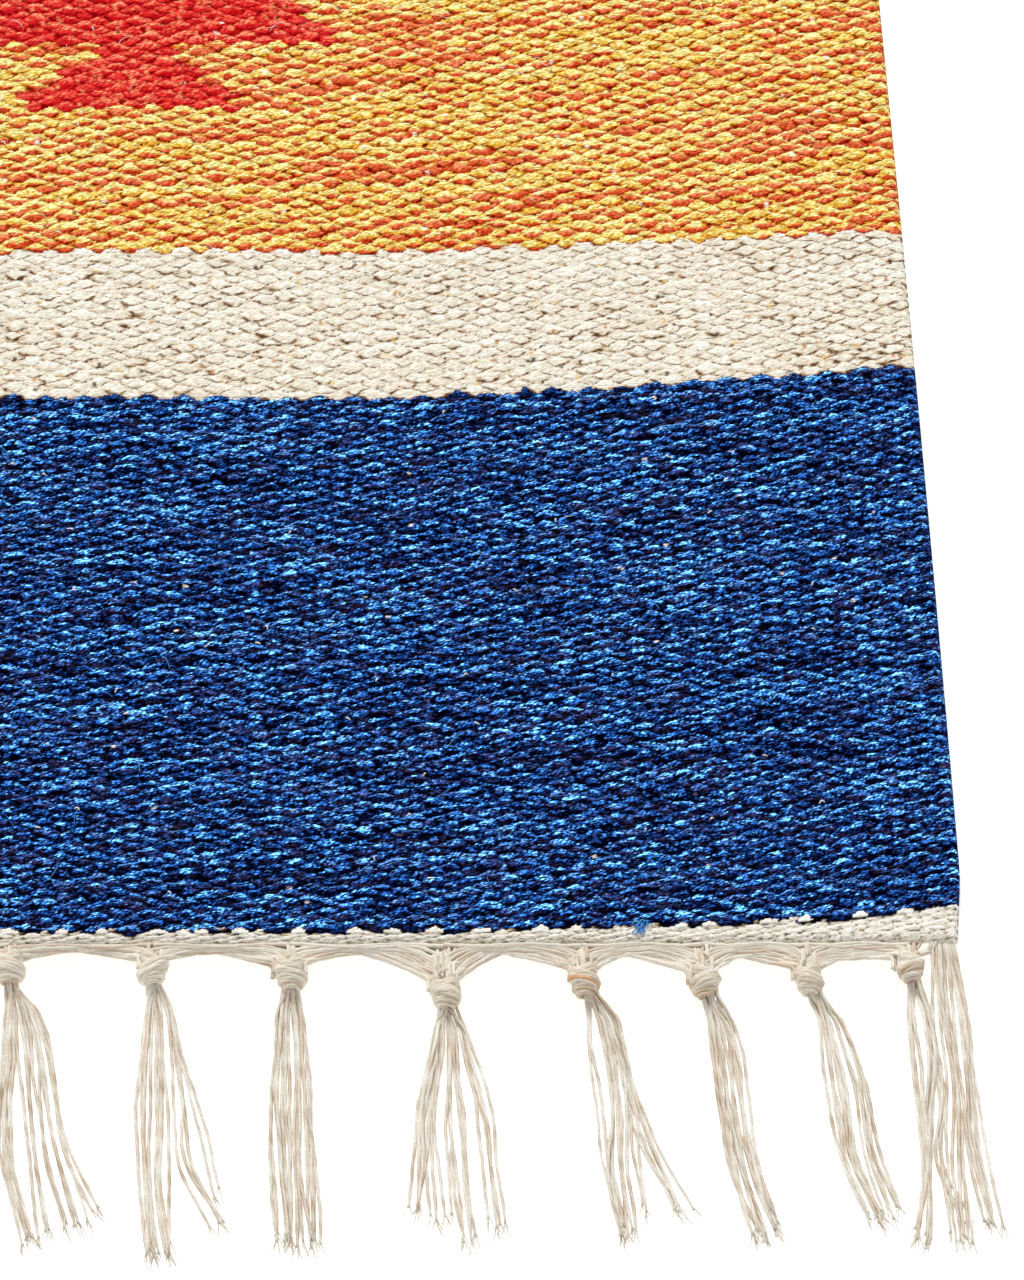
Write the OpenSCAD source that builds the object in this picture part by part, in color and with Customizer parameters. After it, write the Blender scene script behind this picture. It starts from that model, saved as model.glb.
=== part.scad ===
// Weft-faced cotton runner rug with knotted fringes, lying flat.
// Origin: middle of the rug on the surface that it lies on.
// X runs across the rug, Y along it, +Z up. The front end is the one at -Y.

/* [Cloth] */
// Woven width, from selvedge to selvedge
rug_w = 600; // [500:10:760]
// Woven length, without the fringes
rug_l = 1800; // [1750:10:2400]
// Thickness of the cloth, over its weft ribs on both faces
cloth_t = 6.6; // [5:0.1:9]

/* [Bands] */
// Depth of the cord heading at each end of the cloth
heading_l = 5; // [3:0.5:10]
// Distance from the end of the cloth to the inner edge of the blue band
blue_end = 238; // [120:1:260]
// Distance from the end of the cloth to the inner edge of the cream band
cream_end = 306; // [280:1:340]

/* [Bow of the weft rows] */
// How far from the middle of the rug the rows start to rise towards one selvedge
bow_start = 60; // [0:5:150]
// Rise of the heading's inner edge at that selvedge
heading_rise = 10; // [0:0.5:14]
// Rise of the blue band's inner edge at that selvedge
blue_rise = 17; // [0:0.5:25]
// Rise of the cream band's inner edge at that selvedge
cream_rise = 12; // [0:0.5:20]

/* [Red motifs] */
// Distance from the end of the cloth to the foot of the outer motif
outer_foot = 375; // [350:1:400]
// Distance from the end of the cloth to the foot of the inner motif
inner_foot = 622; // [600:1:640]
// Length of one step in a motif's outline, which is one weft rib
step_l = 5.4; // [4:0.1:5.6]
// Half width of the middle diamond, in warps
diamond_half = 11; // [6:1:12]

/* [Warps and fringe] */
// Diameter of a doubled warp cord
warp_d = 2; // [1.2:0.1:2.4]
// Distance from the end of the cloth to the tassels' tips
fringe_l = 120; // [80:5:160]
// Diameter of a tassel's overhand knot
knot_d = 13; // [9:0.5:16]
// Length of a tassel's overhand knot
knot_l = 12; // [9:0.5:16]
// Thickness of the strands that lie below a knot
skirt_t = 5; // [3:0.5:6]

/* [Hidden] */
$fn = 48;
gap = 0.15; // clearance between neighbouring pieces
web_t = 3; // thickness of the bare warps between cloth and knot
neck_w = 8; // width of the strands where they enter and leave a knot
knot_round = 0.625; // radius of a knot's shoulders, as a share of its length
neck_half = 1; // whole warps on each side of the middle warp in a motif's neck
tier_halves = [6, 12, 18]; // whole warps on each side of the middle one, at each tier's foot
bow_pieces = 12; // straight pieces in a bowed edge

// Tassels from the left selvedge to the right one. The last entry is a bundle without a knot.
TASSEL_WARPS = [5, 7, 7, 8, 8, 8, 8, 8, 8, 7, 6, 6, 5, 2]; // warps gathered in each tassel
KNOT_SHIFT = [-6, -4, -3, 0, 2, 4, 4, 2, 6, 8, 10, 9, 11, 1]; // knot, to the right of its warps' middle
KNOT_DROP = [12, 16, 14, 18, 12, 10, 11, 13, 21, 16, 17, 16, 11, 10]; // knot's middle, from the cloth
TIP_SHIFT = [-8, 6, -10, 4, -6, 16, 8, 2, 2, 20, 17, 22, 0, 4]; // tips' middle, right of the knot's
TIP_SPREAD = [7, 10, 12, 9, 13, 11, 14, 8, 15, 13, 8, 8, 7, 6]; // half width of the tips
loose_end = len(TASSEL_WARPS) - 1; // index of the bundle without a knot

function total(list, n) = n == 0 ? 0 : list[n - 1] + total(list, n - 1);
warp_count = total(TASSEL_WARPS, len(TASSEL_WARPS));
warp_pitch = rug_w / warp_count;
channel_w = warp_d + 2 * gap;
half_w = rug_w / 2;
front_y = -rug_l / 2;

// The inner edge of a band, from the left selvedge to the right one: straight, then rising by rise.
function bowed_edge(from_end, rise, power) = concat(
    [[-half_w, front_y + from_end]],
    [for (i = [0 : bow_pieces])
        let (share = i / bow_pieces)
        [bow_start + share * (half_w - bow_start), front_y + from_end + rise * pow(share, power)]]
);
function moved(points, dy) = [for (p = points) p + [0, dy]];
function turned(points) = [for (p = points) -p];
function backwards(points) = [for (i = [len(points) - 1 : -1 : 0]) points[i]];

cloth_end = [[-half_w, front_y], [half_w, front_y]];
heading_edge = bowed_edge(heading_l, heading_rise, 3);
blue_edge = bowed_edge(blue_end, blue_rise, 1.5);
cream_edge = bowed_edge(cream_end, cream_rise, 1.5);

// One side of a tier's stepped outline, from its foot up: one warp narrower at each weft rib.
function tier_side(half, foot, side) = [
    for (k = [0 : half - neck_half], end = [0, 1])
        [side * (half - k + 0.5) * warp_pitch, foot + (k + end) * step_l]
];
function tier_rows(half) = half - neck_half + 1;
function tier_foot(i) = i == 0 ? 0 : tier_foot(i - 1) + tier_rows(tier_halves[i - 1]) * step_l;
function motif_side(side) = [
    for (i = [0 : len(tier_halves) - 1])
        each tier_side(tier_halves[i], tier_foot(i), side)
];
motif_outline = concat(motif_side(1), backwards(motif_side(-1)));
diamond_outline = concat(
    tier_side(diamond_half, 0, 1),
    backwards(tier_side(diamond_half, 0, -1)),
    [for (p = tier_side(diamond_half, 0, -1)) [p[0], -p[1]]],
    backwards([for (p = tier_side(diamond_half, 0, 1)) [p[0], -p[1]]])
);

// Turns a piece of the front end round into the same piece of the back end.
module at_back() rotate([0, 0, 180]) children();

function warp_x(i) = -half_w + (i + 0.5) * warp_pitch;

module warp_cords() color("antiquewhite")
    for (i = [0 : warp_count - 1])
        translate([warp_x(i), front_y, cloth_t / 2])
            rotate([-90, 0, 0])
                cylinder(d = warp_d, h = rug_l, $fn = 16);

module warp_channels()
    for (i = [0 : warp_count - 1])
        translate([warp_x(i) - channel_w / 2, front_y - 1, (cloth_t - channel_w) / 2])
            cube([channel_w, rug_l + 2, channel_w]);

// A stretch of weft: the plan between two edges, run through by the warps' channels.
module weft_band(lower_edge, upper_edge) difference() {
    linear_extrude(cloth_t)
        polygon(concat(moved(lower_edge, gap / 2), backwards(moved(upper_edge, -gap / 2))));
    warp_channels();
}

module heading() color("linen") weft_band(moved(cloth_end, -gap / 2), heading_edge);

module blue_band() color("midnightblue") weft_band(heading_edge, blue_edge);

module cream_band() color("antiquewhite") weft_band(blue_edge, cream_edge);

// Places a motif's plan: outer and inner ones point to the middle of the rug.
module outer_plan() translate([0, front_y + outer_foot]) polygon(motif_outline);
module inner_plan() translate([0, front_y + inner_foot]) polygon(motif_outline);
module diamond_plan() polygon(diamond_outline);

module gold_field() color("goldenrod") difference() {
    weft_band(cream_edge, backwards(turned(cream_edge)));
    for (turn = [0, 180])
        rotate([0, 0, turn])
            translate([0, 0, -1])
                linear_extrude(cloth_t + 2) {
                    outer_plan();
                    inner_plan();
                }
    translate([0, 0, -1])
        linear_extrude(cloth_t + 2)
            diamond_plan();
}

// A motif is inlaid between the same warps as the field around it, edge to edge.
module red_motif() color("crimson") difference() {
    linear_extrude(cloth_t) children();
    warp_channels();
}

function group_left(i) = -half_w + total(TASSEL_WARPS, i) * warp_pitch;
function group_width(i) = TASSEL_WARPS[i] * warp_pitch;
function knot_x(i) = group_left(i) + group_width(i) / 2 + KNOT_SHIFT[i];
function knot_y(i) = front_y - KNOT_DROP[i];

function knot_top(i) = knot_y(i) + knot_l / 2;

// The bare warps between the cloth and a knot, drawn together from their full width.
module warp_web() color("antiquewhite")
    for (i = [0 : loose_end])
        translate([0, 0, (cloth_t - web_t) / 2])
            linear_extrude(web_t)
                polygon([
                    [group_left(i) + gap, front_y - gap],
                    [group_left(i) + group_width(i) - gap, front_y - gap],
                    [knot_x(i) + neck_w / 2, knot_top(i) + gap],
                    [knot_x(i) - neck_w / 2, knot_top(i) + gap]
                ]);

// The strands that lie on the floor and spread from their neck to their tips.
module skirt(i, neck_y) linear_extrude(skirt_t)
    polygon([
        [knot_x(i) + neck_w / 2, neck_y],
        [knot_x(i) - neck_w / 2, neck_y],
        [knot_x(i) + TIP_SHIFT[i] - TIP_SPREAD[i], front_y - fringe_l],
        [knot_x(i) + TIP_SHIFT[i] + TIP_SPREAD[i], front_y - fringe_l]
    ]);

// An overhand knot: a drum with rounded shoulders, lying on the floor along Y.
module knot(i) translate([knot_x(i), knot_y(i) - knot_l / 2, knot_d / 2])
    rotate([-90, 0, 0])
        rotate_extrude()
            intersection() {
                translate([0, knot_l / 2]) circle(knot_l * knot_round);
                square([knot_d / 2, knot_l]);
            }

module tassel(i) color("antiquewhite") {
    knot(i);
    skirt(i, knot_y(i));
}

module loose_ends() color("antiquewhite") skirt(loose_end, knot_top(loose_end));

warp_cords();
warp_web();  // warp_web_front
at_back() warp_web();  // warp_web_back
heading();  // heading_front
at_back() heading();  // heading_back
blue_band();  // blue_band_front
at_back() blue_band();  // blue_band_back
cream_band();  // cream_band_front
at_back() cream_band();  // cream_band_back
gold_field();
red_motif() outer_plan();  // red_motif_front_outer
red_motif() inner_plan();  // red_motif_front_inner
red_motif() diamond_plan();  // red_motif_middle
at_back() red_motif() inner_plan();  // red_motif_back_inner
at_back() red_motif() outer_plan();  // red_motif_back_outer
tassel(0);  // tassel_front_01
tassel(1);  // tassel_front_02
tassel(2);  // tassel_front_03
tassel(3);  // tassel_front_04
tassel(4);  // tassel_front_05
tassel(5);  // tassel_front_06
tassel(6);  // tassel_front_07
tassel(7);  // tassel_front_08
tassel(8);  // tassel_front_09
tassel(9);  // tassel_front_10
tassel(10);  // tassel_front_11
tassel(11);  // tassel_front_12
tassel(12);  // tassel_front_13
loose_ends();  // loose_ends_front
at_back() tassel(0);  // tassel_back_01
at_back() tassel(1);  // tassel_back_02
at_back() tassel(2);  // tassel_back_03
at_back() tassel(3);  // tassel_back_04
at_back() tassel(4);  // tassel_back_05
at_back() tassel(5);  // tassel_back_06
at_back() tassel(6);  // tassel_back_07
at_back() tassel(7);  // tassel_back_08
at_back() tassel(8);  // tassel_back_09
at_back() tassel(9);  // tassel_back_10
at_back() tassel(10);  // tassel_back_11
at_back() tassel(11);  // tassel_back_12
at_back() tassel(12);  // tassel_back_13
at_back() loose_ends();  // loose_ends_back
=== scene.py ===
import math

import bpy
import numpy as np
from mathutils import Matrix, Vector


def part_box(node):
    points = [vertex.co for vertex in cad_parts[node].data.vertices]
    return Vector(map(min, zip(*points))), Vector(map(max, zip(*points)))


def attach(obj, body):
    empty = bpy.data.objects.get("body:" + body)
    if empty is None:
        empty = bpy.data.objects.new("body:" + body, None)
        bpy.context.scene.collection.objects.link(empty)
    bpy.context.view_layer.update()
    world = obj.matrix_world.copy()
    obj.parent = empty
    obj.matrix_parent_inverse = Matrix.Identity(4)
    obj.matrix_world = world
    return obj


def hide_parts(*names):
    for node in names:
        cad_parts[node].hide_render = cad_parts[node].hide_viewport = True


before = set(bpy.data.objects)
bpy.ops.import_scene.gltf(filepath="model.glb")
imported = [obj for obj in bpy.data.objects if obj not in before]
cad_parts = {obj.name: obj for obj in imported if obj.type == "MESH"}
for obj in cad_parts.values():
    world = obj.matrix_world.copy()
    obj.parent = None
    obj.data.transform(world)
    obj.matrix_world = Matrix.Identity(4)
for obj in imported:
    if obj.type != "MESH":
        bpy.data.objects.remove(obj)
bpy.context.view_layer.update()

# The looks of a weft-faced cotton runner rug with knotted fringes, around its CAD frame.
# Lengths are millimetres in the frame's axes until a mesh is made. X runs across the rug and Y
# along it, and the front end is the one at -Y. The back end is the front end turned by half a turn.
MM = 0.001

# --- Driving sizes ---
FIELD_TOP = np.array(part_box("gold_field")[1]) / MM
HALF_W = round(FIELD_TOP[0])
HALF_L = float(round(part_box("warp_cords")[1][1] / MM))  # half the woven length
HALF_T = FIELD_TOP[2] / 2
MIDDLE = HALF_T + 0.15  # height of the cloth's middle plane above the floor


def depths(node):
    """Distances from the front end of the cloth to a node's front and back, in whole mm."""
    return [HALF_L + round(corner[1] / MM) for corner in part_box(node)]


# Where the heading and the bands end. Their edges rise towards the right selvedge.
HEADING_L, BLUE_RISEN = depths("blue_band_front")
BLUE_END, CREAM_RISEN = depths("cream_band_front")
CREAM_END = depths("gold_field")[0]
HEADING_RISE = depths("heading_front")[1] - HEADING_L
BLUE_RISE, CREAM_RISE = BLUE_RISEN - BLUE_END, CREAM_RISEN - CREAM_END
BOW_START = 60.0  # the X where the edges begin to rise

# The cloth in weft ribs, from the front end: a rib is two picks, one on the odd warps and one on
# the even warps
BLUE_RIBS, CREAM_RIBS, GOLD_RIBS = 56, 14, 222
BAND_RIBS = BLUE_RIBS + CREAM_RIBS
ALL_RIBS = 2 * BAND_RIBS + GOLD_RIBS
END_WIDER, WIDER_FROM = 3.2, 430.0  # half the extra width at the ends, and where it begins
DRAWN_IN, DRAWN_FROM = 2.6, 32  # the same for what is drawn in at the very end
HEADING_RIB = 2.5  # pitch of the heading's cords
HEADING_SPLIT = 4 / 3  # heading bumps to a warp

# Red motifs, in warps and ribs
TIER_HALVES = (6, 12, 18)
NECK_HALF = 1
DIAMOND_HALF = 11
OUTER_FOOT = BAND_RIBS + 13
INNER_FOOT = BAND_RIBS + 59

# Tassels from the left selvedge to the right one. The last entry is a bundle without a knot.
TASSEL_WARPS = (5, 7, 7, 8, 8, 8, 8, 8, 8, 7, 6, 6, 5, 2)
TASSELS = [f"tassel_front_{i:02d}" for i in range(1, len(TASSEL_WARPS))] + ["loose_ends_front"]
KNOT_L = 12.0
KNOT_SHIFT = (-6, -4, -3, 0, 2, 4, 4, 2, 6, 8, 10, 9, 11, 1)  # to the right of its warps' middle
KNOT_DROP = [KNOT_L / 2 - depths(node)[1] for node in TASSELS]  # down from the cloth's end
EXIT_SHIFT = (-1, 2, -2, 1, 2, 1.2, 1.8, -0.6, 1, 4.5, 3, 4, 1.2, 0)  # of the strands below the knot
TIP_SHIFT = (-8, 6, -10, 4, -6, 16, 8, 2, 2, 20, 17, 22, 0, 4)  # of their tips, also from the knot
FRINGE_L = -depths(TASSELS[0])[0]
TIP_L = FRINGE_L - 5  # to the middle of the frayed tips
STRAND_R, WEB_R, CROSS_R, KNOT_R, WARP_R = 0.68, 0.74, 0.78, 0.88, 0.95
WEB_OVERLAP = 9.0  # how far a tassel's outer warps cross its neighbour's
WEB_STRANDS, SKIRT_STRANDS = 9, 2  # strands drawn for each doubled warp
WEB_SLACK = (1.5, 1.0, 0.8, 0.6, 0.4, 0.4, 0.8, 1.4, 2.0, 2.8, 3.6, 4.4, 5.0)  # its depth between knots
DYED_KNOT = 9  # the knot with a stray orange yarn in it
WARPS = sum(TASSEL_WARPS)
PITCH = 2 * HALF_W / WARPS

# How the strands of a tassel lie below its knot. Each lane is (share of the strands, distances to
# the right of the knot's mouth at five even depths, half widths at the mouth, middle and tips,
# depth of its tips as a share of the fringe).
LANES = {
    "forked": (
        (0.40, (0, -1.5, -2.7, -2.0, 4.8), (1.0, 1.3, 1.6), 1.02),
        (0.15, (0.6, 3.0, 5.4, 7.7, 10.0), (0.5, 0.8, 0.8), 1.00),
        (0.35, (1.8, 8.3, 10.7, 13.7, 18.5), (1.0, 2.8, 4.0), 0.97),
        (0.10, (3.0, 12.5, 15.5, 18.5, 28.0), (0.3, 0.6, 1.0), 0.90),
    ),
    "curled": (
        (0.45, (-1.8, -4.8, -6.5, -6.5, -5.4), (0.8, 1.1, 1.6), 1.06),
        (0.25, (0.0, 0.0, 0.6, -1.2, -0.6), (0.8, 1.2, 1.4), 1.05),
        (0.20, (2.4, 5.4, 7.1, 7.7, 18.5), (0.8, 1.3, 1.8), 0.97),
        (0.10, (3.0, 6.0, 10.0, 13.7, 17.0), (0.3, 0.5, 0.8), 0.86),
    ),
    "straight": (
        (0.50, (-2.1, -2.7, -3.9, -3.9, -2.1), (1.5, 1.9, 2.8), 1.02),
        (0.50, (2.6, 3.8, 4.4, 5.0, 6.2), (1.5, 1.9, 3.0), 1.03),
    ),
    "spread": (
        (0.22, (-2.4, -5.4, -8.9, -9.8, -10.1), (0.6, 1.2, 1.2), 0.92),
        (0.28, (-1.2, -2.4, -4.2, -3.6, -1.2), (1.0, 2.2, 2.8), 0.95),
        (0.25, (1.2, 1.8, 2.4, 3.6, 7.1), (0.6, 2.2, 2.2), 1.02),
        (0.25, (3.6, 7.7, 11.9, 14.3, 16.7), (0.8, 2.0, 2.2), 0.97),
    ),
    "split": (
        (0.12, (-2.1, -2.6, 0.6, 3.0, 7.1), (0.4, 0.5, 0.8), 1.02),
        (0.35, (0.6, 4.2, 6.5, 6.5, 9.5), (1.2, 1.6, 2.6), 1.00),
        (0.15, (2.4, 6.5, 11.3, 12.9, 15.5), (0.8, 0.9, 1.0), 0.92),
        (0.38, (3.6, 7.7, 12.5, 19.0, 29.0), (1.5, 1.6, 2.4), 0.92),
    ),
    "leaning": (
        (0.55, (-0.6, 1.2, 4.2, 8.3, 15.5), (1.4, 1.8, 2.2), 1.02),
        (0.35, (2.4, 6.5, 8.9, 13.1, 20.2), (1.0, 1.2, 1.6), 0.98),
        (0.10, (3.6, 8.9, 12.5, 14.9, 19.0), (0.4, 0.5, 0.6), 0.90),
    ),
    "bowed": (
        (0.40, (-0.6, 3.0, 6.5, 11.3, 23.0), (1.0, 1.5, 2.2), 0.95),
        (0.35, (1.2, 6.5, 12.5, 16.0, 25.6), (1.0, 1.5, 2.2), 0.96),
        (0.25, (2.4, 10.7, 16.7, 21.4, 30.0), (0.8, 1.2, 1.4), 0.94),
    ),
    "pinched": (
        (0.45, (-1.8, -1.2, -0.6, 1.2, -3.0), (0.8, 1.2, 1.0), 1.02),
        (0.35, (1.8, 4.8, 3.6, 2.4, 1.8), (1.0, 1.2, 0.8), 1.04),
        (0.20, (4.8, 7.1, 8.9, 7.1, 15.5), (0.8, 1.2, 1.2), 0.98),
    ),
    "loose": (
        (0.50, (-1.2, -1.2, 1.8, 2.4, 4.8), (1.8, 2.4, 3.2), 1.03),
        (0.50, (2.4, 6.0, 8.3, 10.7, 15.5), (1.2, 1.8, 2.8), 0.98),
    ),
}
TASSEL_LANES = (
    "pinched", "split", "straight", "spread", "curled", "forked", "curled", "straight",
    "spread", "split", "leaning", "bowed", "pinched", "loose",
)

# --- Yarn kinds ---
HEADING, BLUE, CREAM, GOLD, RED = range(5)
ARCH = np.array([0.60, 0.66, 0.52, 0.74, 0.74])  # rise of a pick over a warp
TUBE = np.array([0.90, 1.00, 0.95, 1.25, 1.25])  # half height of a pick over its own arch
CREST = np.array([2.85, 3.25, 3.30, 3.35, 3.35])  # highest point above the middle plane
SPAN = np.array([0.90, 1.08, 1.10, 1.07, 1.07])  # half length of a bump, in warps
LEAN = np.array([0.20, 0.06, 0.03, 0.02, 0.03])  # rise of a bump's line to the right, in ribs
PLIES = np.array([2, 3, 2, 2, 2])  # strands in a pick
GROOVE = np.array([0.14, 0.26, 0.15, 0.22, 0.20])  # depth between the strands of a pick
CORD_TWIST = np.array([2.0, 1.7, 2.4, 2.2, 2.2])  # distance between the twist's ridges
TWIST_H = np.array([0.10, 0.10, 0.05, 0.07, 0.07])  # height of those ridges
BODY = np.array([0.54, 0.00, 0.60, 0.24, 0.22])  # brightness at the foot of a bump
RISE = np.array([0.26, 0.60, 0.26, 0.54, 0.56])  # painted light: gain from its foot to its crest
CRACK_SHADE = np.array([0.85, 1.25, 1.05, 1.15, 0.95])  # painted shade: loss in the crevice beside it
PLY_GAIN = np.array([0.12, 0.30, 0.10, 0.14, 0.12])  # painted light: gain along the rounded middle of each strand
TWIST_GAIN = np.array([0.07, 0.12, 0.05, 0.07, 0.06])  # painted highlight: gain on the ridges of the twist
GRAIN_GAIN = np.array([0.30, 0.60, 0.30, 0.40, 0.26])  # change from one fibre to the next
DRIFT_GAIN = np.array([0.20, 0.12, 0.20, 0.20, 0.20])  # slow change along a strand
LIT_FROM = np.array([-1.0, -0.6, -1.0, -1.0, -1.0])  # across a bump, where it starts to get brighter
LIT_TO = np.array([0.4, 0.6, 0.4, 0.4, 0.4])  # and where it is brightest


def srgb(*values):
    """Linear light from 0-255 display values."""
    v = np.array(values, float) / 255
    return np.where(v <= 0.04045, v / 12.92, ((v + 0.055) / 1.055) ** 2.4)


# Display colours from the deepest gap to the brightest fibre. The dark stops are painted shade and the
# bright stops painted highlights, laid over each yarn's own colour.
RAMPS = {
    "heading": ((96, 76, 52), (190, 178, 154), (228, 220, 202), (248, 243, 230), (255, 255, 250)),
    "blue": ((0, 0, 10), (3, 8, 38), (10, 38, 102), (28, 86, 178), (84, 162, 236)),
    "cream": ((104, 66, 38), (192, 168, 138), (232, 218, 195), (249, 240, 222), (255, 255, 246)),
    "gold": ((128, 24, 0), (206, 104, 14), (236, 170, 46), (251, 210, 92), (255, 247, 170)),
    "coral": ((116, 6, 0), (176, 30, 2), (206, 56, 20), (226, 86, 42), (250, 150, 98)),
    "red": ((132, 0, 6), (178, 0, 10), (208, 20, 28), (234, 56, 52), (255, 156, 118)),
    "fringe": ((140, 112, 82), (200, 184, 160), (229, 222, 208), (242, 237, 226), (254, 252, 246)),
    "web": ((218, 205, 184), (229, 218, 201), (235, 227, 212), (240, 234, 221), (248, 244, 234)),
    "dyed": ((150, 80, 40), (204, 130, 80), (226, 166, 114), (236, 196, 152), (250, 226, 196)),
    "knot": ((150, 128, 100), (204, 190, 166), (226, 216, 198), (237, 230, 215), (250, 246, 236)),
    "lint": ((206, 200, 184), (232, 228, 216), (250, 248, 240), (255, 254, 250), (255, 255, 255)),
    "blue_lint": ((24, 80, 170), (44, 116, 214), (70, 150, 236), (110, 184, 244), (180, 222, 252)),
}
LEVELS = np.linspace(0, 1, 5)


def ramp(name, level):
    """Linear colours for an array of brightness levels."""
    stops = np.array([srgb(*stop) for stop in RAMPS[name]])
    return np.stack([np.interp(level, LEVELS, stops[:, k]) for k in range(3)], axis=-1)


# --- Seeded noise ---
def chance(seed, *keys):
    """The same number from 0 to 1 for the same whole-number keys."""
    mixed = np.uint32(seed * 2654435761 % 2**32)
    for key in keys:
        word = np.asarray(key).astype(np.int64).astype(np.uint32)
        mixed = (mixed ^ word) * np.uint32(0x9E3779B1)
        mixed = (mixed ^ (mixed >> np.uint32(15))) * np.uint32(0x85EBCA77)
        mixed = mixed ^ (mixed >> np.uint32(13))
    return (mixed >> np.uint32(8)).astype(np.float32) / np.float32(2**24)


def jitter(amount, seed, *keys):
    """A number of up to half the amount, above or below 0."""
    return amount * (chance(seed, *keys) - 0.5)


def ease(t):
    return t * t * (3 - 2 * t)


def smooth(start, end, value):
    """0 before the start and 1 past the end, with a soft step between them."""
    return ease(np.clip((value - start) / (end - start), 0, 1))


def drift(seed, along, *keys):
    """Noise from 0 to 1 that changes smoothly along one axis, apart for each set of keys."""
    step = np.floor(along)
    t = ease(along - step)
    return chance(seed, step, *keys) * (1 - t) + chance(seed, step + 1, *keys) * t


def cloud(seed, x, y):
    """Noise from 0 to 1 that changes smoothly along two axes."""
    row = np.floor(y)
    t = ease(y - row)
    return drift(seed, x, row) * (1 - t) + drift(seed, x, row + 1) * t


def wobble(amount, seed, x, y):
    return amount * (cloud(seed, x, y) - 0.5)


# --- Where the ribs lie ---
def bow(x, rise, power):
    """How far an edge that curves up towards the right selvedge has risen."""
    return rise * (np.clip(x - BOW_START, 0, None) / (HALF_W - BOW_START)) ** power


def band_edges(x):
    """Distances from the end of the cloth to the edges of its bands, and to the rug's middle."""
    return (
        HEADING_L + bow(x, HEADING_RISE, 3),
        BLUE_END + bow(x, BLUE_RISE, 1.5),
        CREAM_END + bow(x, CREAM_RISE, 1.5),
        np.full_like(x, HALF_L),
    )


EDGE_RIBS = (0, BLUE_RIBS, BAND_RIBS, ALL_RIBS / 2)


def front_y(x, rib):
    """Y of a rib in the front half."""
    edges = band_edges(x)
    y = np.zeros_like(x)
    for i in range(3):
        share = (rib - EDGE_RIBS[i]) / (EDGE_RIBS[i + 1] - EDGE_RIBS[i])
        inside = (share >= 0) if i else np.ones_like(x, bool)
        y = np.where(inside, edges[i] + share * (edges[i + 1] - edges[i]), y)
    return y - HALF_L


def rib_y(x, rib):
    """Y of a rib anywhere on the cloth."""
    return np.where(rib <= ALL_RIBS / 2, front_y(x, rib), -front_y(-x, ALL_RIBS - rib))


def heading_rib_at(x, y):
    """The main lattice's rib under a point of the front heading."""
    edges = band_edges(x)
    return (y + HALF_L - edges[0]) / (edges[1] - edges[0]) * BLUE_RIBS


def tier_half(row):
    """Half width of a motif in warps at whole ribs above its foot, or -1 off it."""
    half = np.full(np.shape(row), -1)
    foot = 0
    for tier in TIER_HALVES:
        rows = tier - NECK_HALF + 1
        inside = (row >= foot) & (row < foot + rows)
        half = np.where(inside, tier - (row - foot), half)
        foot += rows
    return half


def motif_number(warp, row):
    """1 to 5 for a rib and warp in a red motif, counted from the front, or 0."""
    off = np.abs(warp - WARPS // 2)
    back = ALL_RIBS - 1 - row
    number = np.zeros(np.broadcast(warp, row).shape, int)
    diamond = DIAMOND_HALF - (ALL_RIBS // 2 - 1 - np.minimum(row, back))
    number = np.where((off <= diamond) & (diamond >= NECK_HALF), 3, number)
    stepped = ((1, row, OUTER_FOOT), (2, row, INNER_FOOT), (4, back, INNER_FOOT), (5, back, OUTER_FOOT))
    for value, from_end, foot in stepped:
        number = np.where(off <= tier_half(from_end - foot), value, number)
    return number


def red_bump(warp, row, offset):
    """True for the bumps of a motif's own picks, which turn back round the warp past its outline."""
    inner = np.where(warp < WARPS // 2, warp + 1, np.where(warp > WARPS // 2, warp - 1, warp))
    turns_there = (offset < 0.5) & (motif_number(inner, row) > 0)
    return turns_there | (motif_number(warp, row) > 0)


def yarn_of(warp, row, offset):
    """The yarn kind of the main lattice's bumps."""
    kind = np.where((row < BLUE_RIBS) | (row >= ALL_RIBS - BLUE_RIBS), BLUE, GOLD)
    near_end = np.minimum(row, ALL_RIBS - 1 - row)
    kind = np.where((near_end >= BLUE_RIBS) & (near_end < BAND_RIBS), CREAM, kind)
    return np.where(red_bump(warp, row, offset), RED, kind)


# --- The woven surface ---
GAP_HEIGHT, DEEP_HEIGHT = 1.7, 1.2  # of the gaps between the picks, whose points are painted dark as shade
SIZE_LEAST, SIZE_MORE = 0.88, 0.32  # a bump's size as a share of the usual one
HALF_DEPTH = 0.57  # of a bump, in ribs
SAG = 0.16  # how far a bump's ends droop below its middle, in ribs
LIFT = 0.06  # how far its middle is above its rib's line, in ribs
WARP_JITTER, RIB_JITTER, LEAN_JITTER = 0.40, 0.20, 0.22
HEIGHT_JITTER = 0.34


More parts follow.
